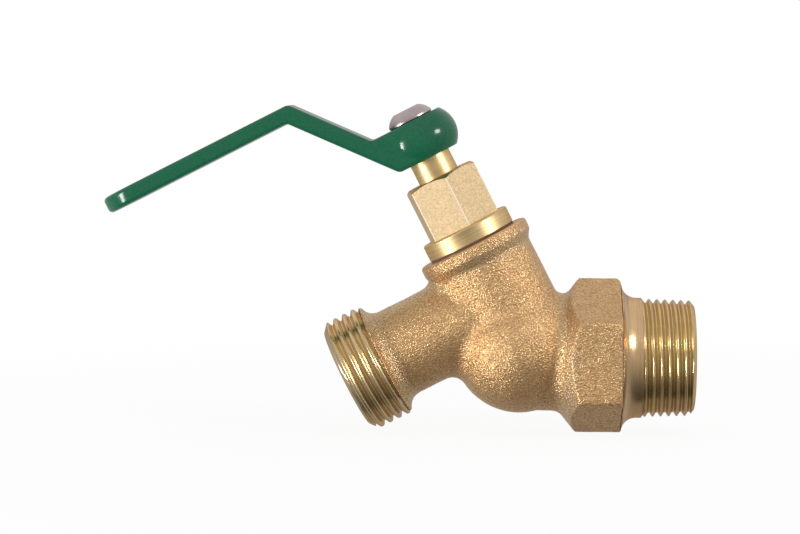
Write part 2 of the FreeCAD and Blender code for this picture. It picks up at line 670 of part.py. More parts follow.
def handle_screw():
    """Low round head with a cross recess, and the thread in the stem's tapped hole."""
    head = SCREW_HEAD_D / 2
    top = BOSS_TOP + SCREW_HEAD_HEIGHT
    rim_top = BOSS_TOP + SCREW_RIM_HEIGHT
    flat = SCREW_HEAD_FLAT_D / 2
    thread = SCREW_THREAD_D / 2
    chord = Vector(flat - head, 0, top - rim_top)
    outward = Vector(chord.z, 0, -chord.x).normalize()
    bulge = at(head, rim_top) + chord / 2 + outward * SCREW_DOME_BULGE
    screw = turned(at(0, BOSS_TOP - SCREW_LENGTH),
                   at(thread, BOSS_TOP - SCREW_LENGTH),
                   at(thread, BOSS_TOP),
                   at(head - SCREW_RIM_CHAMFER, BOSS_TOP),
                   at(head, BOSS_TOP + SCREW_RIM_CHAMFER),
                   at(head, rim_top),
                   (bulge, at(flat, top)),
                   at(0, top))
    slots = []
    for angle in (45, 135):
        slots.append(bar(SCREW_RECESS_LENGTH, SCREW_RECESS_WIDTH, top - SCREW_RECESS_DEPTH, top, angle))
    return screw.cut(slots)


def main():
    upright = {
        "bonnet_gasket": bonnet_gasket(),
        "headwork_housing": headwork_housing(),
        "stem": stem(),
        "stem_o_ring_upper": o_ring(UPPER_GROOVE),
        "stem_o_ring_lower": o_ring(LOWER_GROOVE),
        "thrust_washer": thrust_washer(),
        "upper_disc": upper_disc(),
        "lower_disc": lower_disc(),
        "seat_seal": ring(SEAL_D, SEAL_BORE_D, SEAT, LOWER_DISC_FOOT),
        "seal_support_ring": seal_support_ring(),
        "lever_handle": lever_handle(),
        "handle_screw": handle_screw(),
    }
    os.makedirs("parts", exist_ok=True)
    valve_body().exportStep("parts/valve_body.step")
    for name, shape in upright.items():
        placed(shape, STEM_FRAME).exportStep("parts/" + name + ".step")


if __name__ == "__main__":
    main()
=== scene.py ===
"""A quarter-turn hose bibb in cast bronze, with a headwork of turned brass and a green lever."""
import json
import math

import bmesh
import bpy
from bpy.props import FloatProperty, FloatVectorProperty, IntProperty, PointerProperty
from mathutils import Matrix, Vector


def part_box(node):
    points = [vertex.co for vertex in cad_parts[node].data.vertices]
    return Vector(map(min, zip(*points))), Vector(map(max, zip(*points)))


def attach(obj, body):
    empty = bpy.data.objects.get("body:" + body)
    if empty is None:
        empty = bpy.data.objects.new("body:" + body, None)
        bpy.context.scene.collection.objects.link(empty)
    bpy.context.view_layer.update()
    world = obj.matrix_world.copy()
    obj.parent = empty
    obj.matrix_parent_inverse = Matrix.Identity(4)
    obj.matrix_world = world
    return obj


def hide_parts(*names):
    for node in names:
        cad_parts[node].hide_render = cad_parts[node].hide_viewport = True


bl_info = {
    "name": "Hose Bibb",
    "version": (1, 0, 0),
    "blender": (4, 5, 0),
    "location": "View3D > Sidebar > Hose Bibb",
    "description": "Dresses the fixed frame of a hose bibb with its castings, threads and finishes",
    "category": "Object",
}

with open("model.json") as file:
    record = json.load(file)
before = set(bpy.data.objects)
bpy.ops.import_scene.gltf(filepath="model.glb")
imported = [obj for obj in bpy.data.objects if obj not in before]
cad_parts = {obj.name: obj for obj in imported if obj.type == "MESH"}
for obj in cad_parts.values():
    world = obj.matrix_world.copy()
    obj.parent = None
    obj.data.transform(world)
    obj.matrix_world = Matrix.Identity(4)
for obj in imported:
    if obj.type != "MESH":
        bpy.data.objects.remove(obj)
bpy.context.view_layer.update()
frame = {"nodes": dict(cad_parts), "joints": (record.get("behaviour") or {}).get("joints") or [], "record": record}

MM = 0.001
UP = Vector((0.0, 0.0, 1.0))
MOUNTS = {mount["name"]: mount for mount in frame["record"]["mounts"]}
JOINT = frame["joints"][0]


def axis_frame(origin, axis):
    """The matrix that puts something drawn upright onto an axis."""
    turn = UP.rotation_difference(Vector(axis)).to_matrix().to_4x4()
    return Matrix.Translation(Vector(origin)) @ turn


# The three axes of the object: the inlet's, the outlet's and the stem's
CROSSING = Vector(JOINT["pos_m"])
STEM = axis_frame(CROSSING, JOINT["axis"])
INLET = axis_frame(MOUNTS["inlet_thread"]["pos_m"], MOUNTS["inlet_thread"]["axis"])
OUTLET = axis_frame(CROSSING, MOUNTS["outlet_hose_thread"]["axis"])

# The places on those axes where the casting's machined ends start and stop
INLET_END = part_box("valve_body")[1].x
HEXAGON_FRONT = -4.6 * MM
HOSE_THREAD_START = 30.0 * MM
HOSE_THREAD_END = 39.5 * MM
RING_TOP = 14.85 * MM

# Other sizes that the dressed casting shares with its solid
HEXAGON_HALF_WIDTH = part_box("valve_body")[1].y
BORE_RADIUS = 8.0 * MM
BORE_BEVEL = 0.4 * MM

# What is machined on the casting, with a little to spare: bores by axis, radius and lowest point,
# and faces by axis and lowest point
BORES = (
    (INLET, BORE_RADIUS + 0.5 * MM, -28.0 * MM),
    (OUTLET, BORE_RADIUS + 0.5 * MM, 6.0 * MM),
    (STEM, 9.8 * MM, -9.5 * MM),
)
FACES = (
    (STEM, RING_TOP - 0.3 * MM),
    (INLET, HEXAGON_FRONT - 0.3 * MM),
)

# The hollow corners of the casting, where its sides reflect each other and a duller, olive colour is painted as
# shade: axis, place and width
SHADED_CASTING_CORNERS = (
    (INLET, -16.9 * MM, 1.8 * MM),
    (STEM, 11.0 * MM, 1.6 * MM),
    (OUTLET, 28.8 * MM, 2.2 * MM),
)

# The headwork's hexagon: where it starts and stops on the stem's axis, and an area between that of
# its flats and that of the narrow faces on its corners
HEADWORK_FLATS = (19.0 * MM, 31.8 * MM)
FLAT_AREA = 10 * MM ** 2

# The nodes that the operators make anew, and the finish of the material slots that the others have
REPLACED_NODES = ("valve_body", "headwork_housing", "lever_handle")
SLOT_FINISHES = {
    "turned_brass": "lathe_brass",
    "fibre_gasket": "pressed_fibre",
    "disc_ceramic": "fired_ceramic",
    "black_rubber": "nitrile_rubber",
    "white_acetal": "white_plastic",
    "screw_steel": "plated_steel",
}

# The brightness of the room in front of the object and behind it, each after the height of the
# direction that it comes from, -1 straight below and 1 straight above
FRONT_OF_ROOM = ((-1.0, 0.06), (-0.88, 0.07), (-0.5, 0.25), (0.0, 0.5), (0.4, 0.55), (0.85, 0.7))
BACK_OF_ROOM = ((-1.0, 0.26), (-0.85, 0.31), (-0.5, 0.5), (-0.15, 0.5), (0.15, 0.5), (0.5, 0.9),
                (1.0, 0.65))

# Where the front of the room ends, at eye level and low down, and where its back starts, from -1 at
# the camera's side to 1 behind the object
FRONT_ENDS = (-0.85, -0.3)
BACK_STARTS = 0.3


def length_property(name, description, length):
    """A setting that holds a length."""
    return FloatProperty(name=name, description=description, default=length, unit="LENGTH")


def angle_property(name, description, degrees):
    """A setting that holds an angle."""
    return FloatProperty(name=name, description=description, default=math.radians(degrees),
                         subtype="ANGLE")


def colour_property(name, description, colour):
    """A setting that holds a colour, as linear light."""
    return FloatVectorProperty(name=name, description=description, default=colour, subtype="COLOR")


def pair_property(name, description, left, right, **kind):
    """A setting with one value for the left softbox and one for the right."""
    return FloatVectorProperty(name=name, description=description, size=2, default=(left, right),
                               **kind)


class CastingSettings(bpy.types.PropertyGroup):
    """How the sand casting looks close to."""

    voxel: length_property("Voxel", "Fineness of the casting's skin", 0.4 * MM)
    grain_size: length_property("Grain size", "Distance between lumps of the sand's print", 1.0 * MM)
    grain_height: length_property("Grain height", "Height of the sand's print", 0.035 * MM)
    wave_size: length_property("Wave size", "Distance between the swells of the casting", 7.0 * MM)
    wave_height: length_property("Wave height", "Height of the swells of the casting", 0.12 * MM)
    seam_height: length_property("Seam height", "Height of the line where the mould parts", 0.1 * MM)
    seam_width: length_property("Seam width", "Width of the line where the mould parts", 0.5 * MM)


class ThreadSettings(bpy.types.PropertyGroup):
    """The two standard threads."""

    segments: IntProperty(name="Segments", description="Steps round one turn of a thread", default=128)
    pipe_pitch: length_property("Pipe pitch", "14 threads to the inch", 25.4 / 14 * MM)
    pipe_taper: FloatProperty(name="Pipe taper", description="Loss of radius along the pipe thread",
                              default=1 / 32)
    hose_pitch: length_property("Hose pitch", "11.5 threads to the inch", 25.4 / 11.5 * MM)
    depth_ratio: FloatProperty(name="Depth", description="Depth of a thread as a share of its pitch",
                               default=0.53)
    crest_rise: length_property("Crest rise", "Of the pipe thread above its nominal size", 0.2 * MM)


class EdgeSettings(bpy.types.PropertyGroup):
    """The edges that aren't left sharp."""

    broken_corner: length_property("Broken corner", "Width taken off the headwork's hexagon", 0.2 * MM)
    paint_round: length_property("Paint round", "Rounding of the lever's painted edges", 0.25 * MM)


class FinishSettings(bpy.types.PropertyGroup):
    """The colours of the metals, the paint and the small parts."""

    cast_bronze: colour_property("Cast bronze", "Skin of the casting", (0.81, 0.515, 0.255))
    # Painted shade: the darker tone given to the hollows of the sand's grain
    cast_shadow: colour_property("Bronze pits", "Hollows of the casting's skin", (0.53, 0.315, 0.145))
    # Painted shade: a duller, olive colour for the casting's hollow corners, where its sides reflect each other
    corner_shade_bronze: colour_property("Corner bronze", "Skin in the casting's corners", (0.69, 0.56, 0.35))
    cut_bronze: colour_property("Cut bronze", "Machined faces of the casting", (0.82, 0.53, 0.285))
    pipe_bronze: colour_property("Pipe thread bronze", "The pipe thread", (0.79, 0.60, 0.32))
    hose_bronze: colour_property("Hose thread bronze", "The hose thread", (0.84, 0.65, 0.375))
    neck_bronze: colour_property("Neck bronze", "Between hexagon and pipe thread", (0.81, 0.54, 0.285))
    # Painted reflection: a paler, less orange colour for the concave corner against the hexagon than for the rest
    # of the neck
    crease_reflection_cut: colour_property("Corner cut", "Machined corner against the hexagon", (0.80, 0.635, 0.42))
    edge_tint: colour_property("Edge tint", "Of cut metal seen at a low angle", (0.82, 0.66, 0.58))
    brass: colour_property("Brass", "Headwork and stem", (0.81, 0.58, 0.275))
    drawn_brass: colour_property("Drawn brass", "Flats of the headwork's hexagon", (0.76, 0.585, 0.355))
    # Painted highlight: the near-white line down the corners of the headwork's hexagon
    highlight_line_brass: colour_property("Highlight line brass", "Corners of the headwork's hexagon", (1.0, 0.93, 0.78))
    enamel: colour_property("Enamel", "Paint of the lever", (0.003, 0.078, 0.035))
    enamel_thin: colour_property("Thin enamel", "Paint where it runs thin", (0.008, 0.135, 0.063))
    steel: colour_property("Steel", "Handle screw", (0.54, 0.44, 0.45))
    rubber: colour_property("Rubber", "Seals", (0.02, 0.02, 0.02))
    fibre: colour_property("Fibre", "Bonnet gasket", (0.14, 0.065, 0.05))
    ceramic: colour_property("Ceramic", "Discs", (0.80, 0.78, 0.73))
    plastic: colour_property("Plastic", "Washer and support ring", (0.70, 0.69, 0.65))


class StudioSettings(bpy.types.PropertyGroup):
    """The camera, the light and the floor."""

    azimuth: angle_property("Azimuth", "Camera's angle towards the inlet", 1.69)
    elevation: angle_property("Elevation", "Camera's angle above the horizon", 3.85)
    roll: angle_property("Roll", "Camera's turn about its view", 0.134)
    distance: length_property("Distance", "From the camera to the target", 0.65)
    target: FloatVectorProperty(name="Target", description="Point in the middle of the picture",
                                default=(-0.05494, 0.0, 0.02052), subtype="TRANSLATION")
    width: length_property("Width", "Width of the picture at the target", 0.18256)
    lamp_turn: pair_property("Lamp turn", "Angles of the softboxes to the sides of the camera",
                             math.radians(-57), math.radians(57), subtype="EULER")
    lamp_rise: pair_property("Lamp rise", "Angles of the softboxes above the horizon",
                             math.radians(-14), math.radians(24), subtype="EULER")
    lamp_distance: length_property("Lamp distance", "From each softbox to the target", 0.6)
    lamp_width: pair_property("Lamp width", "Widths of the softboxes", 0.10, 0.15, unit="LENGTH")
    lamp_height: pair_property("Lamp height", "Heights of the softboxes", 0.26, 0.11, unit="LENGTH")
    lamp_power: pair_property("Lamp power", "Powers of the softboxes", 2.3, 1.1)
    floor_drop: length_property("Floor", "Height of the floor below the inlet's axis", 17.05 * MM)
    fade_start: length_property("Fade start", "Distance at which the floor starts to turn white", 0.08)
    fade_end: length_property("Fade end", "Distance at which the floor is plain white", 0.3)


def copy_of(name):
    """A loose copy of a node of the frame, with its triangles merged into a closed mesh."""
    mesh = frame["nodes"][name].data.copy()
    mesh.materials.clear()
    work = bmesh.new()
    work.from_mesh(mesh)
    bmesh.ops.remove_doubles(work, verts=work.verts, dist=1e-7)
    work.to_mesh(mesh)
    work.free()
    return mesh


def new_object(name, data):
    """An object at the origin that holds a mesh, a camera or a light."""
    made = bpy.data.objects.new(name, data)
    bpy.context.scene.collection.objects.link(made)
    return made


def settle(piece):
    """Turns a piece and its modifiers into a plain mesh."""
    evaluated = piece.evaluated_get(bpy.context.evaluated_depsgraph_get())
    mesh = bpy.data.meshes.new_from_object(evaluated)
    old = piece.data
    piece.modifiers.clear()
    piece.data = mesh
    bpy.data.meshes.remove(old)
    return mesh


def shade(mesh, sharp_angle):
    """Smooth shading with sharp edges above an angle in degrees."""
    mesh.shade_smooth()
    mesh.set_sharp_from_angle(angle=math.radians(sharp_angle))


def set_finishes(mesh, *names):
    """Gives a mesh its materials, in the order of the names."""
    mesh.materials.clear()
    for name in names:
        mesh.materials.append(bpy.data.materials[name])


def calc(tree, operation, *terms):
    """A math node whose terms are sockets or numbers."""
    made = tree.nodes.new("ShaderNodeMath")
    made.operation = operation
    for socket, term in zip(made.inputs, terms):
        if isinstance(term, (int, float)):
            socket.default_value = term
        else:
            tree.links.new(term, socket)
    return made.outputs[0]


def node(tree, kind, values=None, **settings):
    """A node with its settings, and with numbers or sockets for its inputs."""
    made = tree.nodes.new(kind)
    for key, value in settings.items():
        setattr(made, key, value)
    for key, value in (values or {}).items():
        if isinstance(value, bpy.types.NodeSocket):
            tree.links.new(value, made.inputs[key])
        else:
            made.inputs[key].default_value = value
    return made


def noise(tree, place, scale, detail, roughness=0.5):
    """A noise texture's value, from 0 to 1."""
    return node(tree, "ShaderNodeTexNoise",
                {"Vector": place, "Scale": scale, "Detail": detail, "Roughness": roughness}).outputs[0]


def ranged(tree, value, low, high):
    """A value from 0 to 1 spread between two numbers."""
    return calc(tree, "MULTIPLY_ADD", value, high - low, low)


def masked(tree, value, low, high, **settings):
    """A mask that is 0 where a value is at low or past it, and 1 where it is at high or past it."""
    return node(tree, "ShaderNodeMapRange", {"Value": value, "From Min": low, "From Max": high},
                **settings).outputs[0]


def new_tree(name, kind, inputs, outputs):
    """A node group with sockets, given as names and kinds, and its two end nodes."""
    tree = bpy.data.node_groups.new(name, kind)
    for in_out, sockets in (("INPUT", inputs), ("OUTPUT", outputs)):
        for socket, socket_kind in sockets.items():
            tree.interface.new_socket(socket, in_out=in_out, socket_type="NodeSocket" + socket_kind)
    return tree, tree.nodes.new("NodeGroupInput"), tree.nodes.new("NodeGroupOutput")


def finish_tree(tree, end, values):
    """Links a tree's end node, and spreads the nodes in a grid that can be read in the editor."""
    for name, value in values.items():
        tree.links.new(value, end.inputs[name])
    for place, made in enumerate(tree.nodes):
        made.location = (220 * (place // 4), -220 * (place % 4))


def grow(piece, tree, values):
    """Runs a geometry tree on a piece and keeps the result as a plain mesh."""
    modifier = piece.modifiers.new(tree.name, "NODES")
    modifier.node_group = tree
    for socket in tree.interface.items_tree:
        if socket.in_out == "INPUT" and socket.name in values:
            modifier[socket.identifier] = values[socket.name]
    return settle(piece)


def thread_tree():
    """A tapering screw thread with a lead-in at its end and a shoulder at its start."""
    sizes = ("Crest Radius", "Pitch", "Depth", "Taper", "Length", "Lead-in Length", "Lead-in Depth",
             "Shoulder Radius", "Shoulder Slope", "Crest Flat", "Root Flat", "Rounding", "Phase")
    tree, given, result = new_tree(
        "Helical Thread", "GeometryNodeTree",
        {**dict.fromkeys(sizes, "Float"), "Segments": "Int", "Turns": "Int", "Material": "Material"},
        {"Geometry": "Geometry"})
    value = given.outputs

    # A grid with the turns along X and one pitch, from root to root, along Y
    steps = calc(tree, "ADD", calc(tree, "MULTIPLY", value["Segments"], value["Turns"]), 1)
    grid = node(tree, "GeometryNodeMeshGrid",
                {"Size X": value["Turns"], "Size Y": 1.0, "Vertices X": steps, "Vertices Y": 17})
    place = node(tree, "ShaderNodeSeparateXYZ",
                 {"Vector": node(tree, "GeometryNodeInputPosition").outputs[0]}).outputs
    turn = calc(tree, "ADD", place["X"], calc(tree, "MULTIPLY", value["Turns"], 0.5))
    rise = calc(tree, "ADD", turn, calc(tree, "SUBTRACT", place["Y"], 0.5))
    along = calc(tree, "MAXIMUM", calc(tree, "MULTIPLY", rise, value["Pitch"]), 0)
    along = calc(tree, "MINIMUM", along, value["Length"])

    # The depth below the crest, from 0 to 1: straight flanks between flats, and then rounded. What
    # would lie before the start has the depth that the thread has on the start's plane.
    across = calc(tree, "MAXIMUM", place["Y"], calc(tree, "SUBTRACT", 0.5, turn))
    flank = calc(tree, "MULTIPLY", calc(tree, "ABSOLUTE", across), 2)
    flank = calc(tree, "SUBTRACT", flank, value["Crest Flat"])
    flats = calc(tree, "ADD", value["Crest Flat"], value["Root Flat"])
    flank = calc(tree, "DIVIDE", flank, calc(tree, "SUBTRACT", 1, flats))
    flank = calc(tree, "MINIMUM", calc(tree, "MAXIMUM", flank, 0), 1)
    wave = calc(tree, "MULTIPLY_ADD", flank, -2, 3)
    wave = calc(tree, "MULTIPLY", calc(tree, "MULTIPLY", flank, flank), wave)
    bent = calc(tree, "MULTIPLY", calc(tree, "SUBTRACT", wave, flank), value["Rounding"])
    flank = calc(tree, "ADD", flank, bent)

    # The radius, held below the lead-in's cone and above the shoulder's
    taper = calc(tree, "MULTIPLY", along, value["Taper"])
    radius = calc(tree, "SUBTRACT", value["Crest Radius"], taper)
    radius = calc(tree, "SUBTRACT", radius, calc(tree, "MULTIPLY", flank, value["Depth"]))
    lead_in_start = calc(tree, "SUBTRACT", value["Length"], value["Lead-in Length"])
    past = calc(tree, "SUBTRACT", along, lead_in_start)
    slope = calc(tree, "DIVIDE", value["Lead-in Depth"], value["Lead-in Length"])
    lead_in = calc(tree, "SUBTRACT", value["Crest Radius"], calc(tree, "MULTIPLY", past, slope))
    shoulder = calc(tree, "MULTIPLY", along, value["Shoulder Slope"])
    shoulder = calc(tree, "SUBTRACT", value["Shoulder Radius"], shoulder)
    radius = calc(tree, "MAXIMUM", calc(tree, "MINIMUM", radius, lead_in), shoulder)

    # In the first turn, the grid's first row, at Y = -0.5, drops to the shoulder and closes the start
    first_row = calc(tree, "LESS_THAN", place["Y"], -0.499)
    start_face = calc(tree, "MULTIPLY", first_row, calc(tree, "LESS_THAN", rise, 0))
    above = calc(tree, "SUBTRACT", radius, shoulder)
    radius = calc(tree, "SUBTRACT", radius, calc(tree, "MULTIPLY", start_face, above))

    angle = calc(tree, "MULTIPLY_ADD", turn, math.tau, value["Phase"])
    spot = node(tree, "ShaderNodeCombineXYZ",
                {"X": calc(tree, "MULTIPLY", radius, calc(tree, "COSINE", angle)),
                 "Y": calc(tree, "MULTIPLY", radius, calc(tree, "SINE", angle)),
                 "Z": along})
    moved = node(tree, "GeometryNodeSetPosition",
                 {"Geometry": grid.outputs["Mesh"], "Position": spot.outputs[0]})
    merged = node(tree, "GeometryNodeMergeByDistance",
                  {"Geometry": moved.outputs[0], "Distance": 1e-6})
    real = node(tree, "GeometryNodeRealizeInstances", {"Geometry": merged.outputs[0]})
    painted = node(tree, "GeometryNodeSetMaterial",
                   {"Geometry": real.outputs[0], "Material": value["Material"]})
    finish_tree(tree, result, {"Geometry": painted.outputs[0]})


def casting_tree():
    """The print of the mould's sand, the casting's swells and its parting seam."""
    sizes = ("Grain Size", "Grain Height", "Wave Size", "Wave Height", "Seam Height", "Seam Width")
    tree, given, result = new_tree(
        "Casting Skin", "GeometryNodeTree",
        {"Geometry": "Geometry", **dict.fromkeys(sizes, "Float"), "Material": "Material"},
        {"Geometry": "Geometry"})
    value = given.outputs
    position = node(tree, "GeometryNodeInputPosition").outputs[0]
    normal = node(tree, "GeometryNodeInputNormal").outputs[0]
    heights = []
    for kind, detail in (("Grain", 2.0), ("Wave", 1.0)):
        lumps = noise(tree, position, calc(tree, "DIVIDE", 1.0, value[kind + " Size"]), detail)
        centred = calc(tree, "MULTIPLY_ADD", lumps, 2, -1)
        heights.append(calc(tree, "MULTIPLY", centred, value[kind + " Height"]))
    across = node(tree, "ShaderNodeSeparateXYZ", {"Vector": position}).outputs["Y"]
    near = calc(tree, "DIVIDE", calc(tree, "ABSOLUTE", across), value["Seam Width"])
    fade = calc(tree, "EXPONENT", calc(tree, "MULTIPLY", calc(tree, "MULTIPLY", near, near), -1))
    heights.append(calc(tree, "MULTIPLY", fade, value["Seam Height"]))
    height = calc(tree, "ADD", calc(tree, "ADD", heights[0], heights[1]), heights[2])
    rough = node(tree, "GeometryNodeInputNamedAttribute", {"Name": "as_cast"}, data_type="FLOAT")
    height = calc(tree, "MULTIPLY", height, rough.outputs[0])
    offset = node(tree, "ShaderNodeVectorMath", {0: normal, "Scale": height}, operation="SCALE")
    moved = node(tree, "GeometryNodeSetPosition",
                 {"Geometry": value["Geometry"], "Offset": offset.outputs[0]})
    real = node(tree, "GeometryNodeRealizeInstances", {"Geometry": moved.outputs[0]})
    painted = node(tree, "GeometryNodeSetMaterial",
                   {"Geometry": real.outputs[0], "Material": value["Material"]})
    finish_tree(tree, result, {"Geometry": painted.outputs[0]})
    return tree


def grain_group():
    """The fine print of the sand: its height, and masks of its hollows and of larger patches."""
    tree, given, result = new_tree("Sand Grain", "ShaderNodeTree",
                                   {"Vector": "Vector", "Size": "Float"},
                                   {"Height": "Float", "Hollow": "Float", "Patch": "Float"})
    place = given.outputs["Vector"]
    scale = calc(tree, "DIVIDE", 1.0, given.outputs["Size"])
    lumps = noise(tree, place, calc(tree, "MULTIPLY", scale, 0.7), detail=4.0, roughness=0.65)
    grains = node(tree, "ShaderNodeTexVoronoi", {"Vector": place, "Scale": scale, "Randomness": 1.0},
                  feature="F1")
    height = calc(tree, "SUBTRACT", lumps, calc(tree, "MULTIPLY", grains.outputs[0], 0.7))
    patches = noise(tree, place, calc(tree, "MULTIPLY", scale, 0.11), detail=3.0)
    finish_tree(tree, result, {"Height": height, "Hollow": masked(tree, height, 0.24, -0.02),
                               "Patch": masked(tree, patches, 0.42, 0.68)})


def turning_group():
    """The fine rings that a lathe leaves, round the Z axis of the vector given."""
    tree, given, result = new_tree("Turning Lines", "ShaderNodeTree",
                                   {"Vector": "Vector", "Spacing": "Float"},
                                   {"Height": "Float", "Stain": "Float", "Ring": "Float"})
    place = given.outputs["Vector"]
    scale = calc(tree, "DIVIDE", 1.0, given.outputs["Spacing"])
    drawn_out = node(tree, "ShaderNodeVectorMath", {0: place, 1: (0.02, 0.02, 1.0)},
                     operation="MULTIPLY").outputs[0]
    lines = noise(tree, drawn_out, scale, detail=3.0, roughness=0.6)
    stains = noise(tree, place, calc(tree, "MULTIPLY", scale, 0.05), detail=3.0)
    rings = noise(tree, drawn_out, calc(tree, "MULTIPLY", scale, 0.35), detail=2.0)
    finish_tree(tree, result, {"Height": lines, "Stain": stains,
                               "Ring": masked(tree, rings, 0.45, 0.75)})


def new_material(name):
    """A material's tree and shader, and the object's own coordinates in it."""
    material = bpy.data.materials.new(name)
    material.use_nodes = True
    tree = material.node_tree
    return tree, tree.nodes["Principled BSDF"], node(tree, "ShaderNodeTexCoord").outputs["Object"]


def toned(colour, *shares):
    """A colour times a share of it, or times one share each for red, green and blue."""
    if len(shares) == 1:
        shares = shares * 3
    return [share * channel for share, channel in zip(shares, colour)]


def blend_colours(tree, factor, first, second):
    """A mix of two colours by a factor."""
    mix = node(tree, "ShaderNodeMix", data_type="RGBA")
    tree.links.new(factor, mix.inputs[0])
    for socket, colour in ((mix.inputs[6], first), (mix.inputs[7], second)):
        if isinstance(colour, bpy.types.NodeSocket):
            tree.links.new(colour, socket)
        else:
            socket.default_value = (*colour, 1.0)
    return mix.outputs[2]


def finish_material(tree, shader, tone, roughness, metal=0.0, height=None, depth=0.0):
    """Sets the shader's colour, roughness and metal, and a bump of a real depth in metres."""
    if height is not None:
        bump = node(tree, "ShaderNodeBump", {"Height": height, "Strength": 1.0, "Distance": depth})
        tree.links.new(bump.outputs[0], shader.inputs["Normal"])
    shader.inputs["Metallic"].default_value = metal
    finish_tree(tree, shader, {"Base Color": tone, "Roughness": roughness})


def cast_bronze():
    """Bronze as it comes out of the sand."""
    finishes = bpy.context.scene.bibb_finishes
    bronze = finishes.cast_bronze
    tree, shader, place = new_material("sand_cast_bronze")
    grain = node(tree, "ShaderNodeGroup", {"Vector": place, "Size": 0.40 * MM},
                 node_tree=bpy.data.node_groups["Sand Grain"]).outputs
    tint = masked(tree, noise(tree, place, 1 / (0.9 * MM), detail=2.0), 0.35, 0.65)
    clean = blend_colours(tree, tint, toned(bronze, 1.06, 1.0, 1.04), toned(bronze, 0.98, 1.02, 0.92))
    worn = blend_colours(tree, tint, toned(bronze, 0.94, 0.92, 0.90), toned(bronze, 0.90, 0.87, 0.84))
    tone = blend_colours(tree, grain["Patch"], clean, worn)
    # Painted shade: the hollow corners take a duller, olive colour
    corner = node(tree, "ShaderNodeAttribute", attribute_name="corner").outputs["Fac"]
    tone = blend_colours(tree, ranged(tree, corner, 0.0, 0.85), tone, finishes.corner_shade_bronze)
    # Painted shade: the grain's hollows take the darker cast_shadow tone
    tone = blend_colours(tree, grain["Hollow"], tone, finishes.cast_shadow)
    finish_material(tree, shader, tone, ranged(tree, grain["Hollow"], 0.27, 0.46), metal=0.85,
                    height=grain["Height"], depth=0.19 * MM)


def turned_metal(name, colour, axis, roughness, spacing, depth):
    """Metal off the lathe, with rings round the axis that it was turned about."""
    tree, shader, place = new_material(name)
    to_axis = axis.inverted()
    mapping = node(tree, "ShaderNodeMapping", {"Vector": place, "Rotation": to_axis.to_euler(),
                                               "Location": to_axis.translation})
    lines = node(tree, "ShaderNodeGroup", {"Vector": mapping.outputs[0], "Spacing": spacing},
                 node_tree=bpy.data.node_groups["Turning Lines"]).outputs
    tone = blend_colours(tree, lines["Stain"], toned(colour, 0.86), toned(colour, 1.1))
    tone = blend_colours(tree, lines["Ring"], tone, toned(colour, 0.7, 0.76, 0.9))
    rough = ranged(tree, lines["Stain"], roughness * 0.8, roughness * 1.2)
    shader.inputs["Specular Tint"].default_value = (*bpy.context.scene.bibb_finishes.edge_tint, 1.0)
    finish_material(tree, shader, tone, rough, metal=1.0, height=lines["Height"], depth=depth)


def drawn_brass():
    """The flats of the headwork's hexagon: brass bar as drawn, dull and a little mottled."""
    brass = bpy.context.scene.bibb_finishes.drawn_brass
    tree, shader, place = new_material("drawn_brass")
    cloud = noise(tree, place, 1 / (0.45 * MM), detail=5.0, roughness=0.7)
    mottle = masked(tree, cloud, 0.3, 0.7)
    tone = blend_colours(tree, mottle, toned(brass, 0.76), toned(brass, 1.08))
    finish_material(tree, shader, tone, ranged(tree, mottle, 0.70, 0.58), metal=1.0,
                    height=cloud, depth=0.03 * MM)


def highlight_line_brass():
    """The corners of the headwork's hexagon, with a painted highlight: a near-white, barely metallic colour that
    draws a bright line down each corner.
    """
    finishes = bpy.context.scene.bibb_finishes
    tree, shader, place = new_material("highlight_line_brass")
    highlight_mottle = noise(tree, place, 1 / (0.5 * MM), detail=3.0)
    tone = blend_colours(tree, highlight_mottle, finishes.highlight_line_brass, finishes.drawn_brass)
    finish_material(tree, shader, tone, ranged(tree, highlight_mottle, 0.40, 0.60), metal=0.2)


def green_enamel():
    """Gloss enamel over a casting, thinner in patches."""
    finishes = bpy.context.scene.bibb_finishes
    tree, shader, place = new_material("gloss_enamel")
    patches = noise(tree, place, 1 / (0.6 * MM), detail=3.0)
    tone = blend_colours(tree, patches, finishes.enamel, finishes.enamel_thin)
    peel = noise(tree, place, 1 / (1.6 * MM), detail=2.0)
    shader.inputs["Specular IOR Level"].default_value = 0.42
    finish_material(tree, shader, tone, ranged(tree, peel, 0.10, 0.26), height=peel, depth=0.02 * MM)


def screw_steel():
    """Plated steel with a satin face."""
    steel = bpy.context.scene.bibb_finishes.steel
    tree, shader, place = new_material("plated_steel")
    cloud = noise(tree, place, 1 / (1.2 * MM), detail=4.0)
    tone = blend_colours(tree, cloud, toned(steel, 0.85), toned(steel, 1.15))
    finish_material(tree, shader, tone, ranged(tree, cloud, 0.28, 0.42), metal=1.0,
                    height=cloud, depth=0.015 * MM)


def moulded(name, colour, roughness, size, depth):
    """Rubber, plastic, fibre or ceramic, with a fine even surface."""
    tree, shader, place = new_material(name)
    speck = noise(tree, place, 1 / size, detail=3.0)
    tone = blend_colours(tree, speck, toned(colour, 0.85), toned(colour, 1.15))
    finish_material(tree, shader, tone, ranged(tree, speck, roughness * 0.85, roughness * 1.15),
                    height=speck, depth=depth)


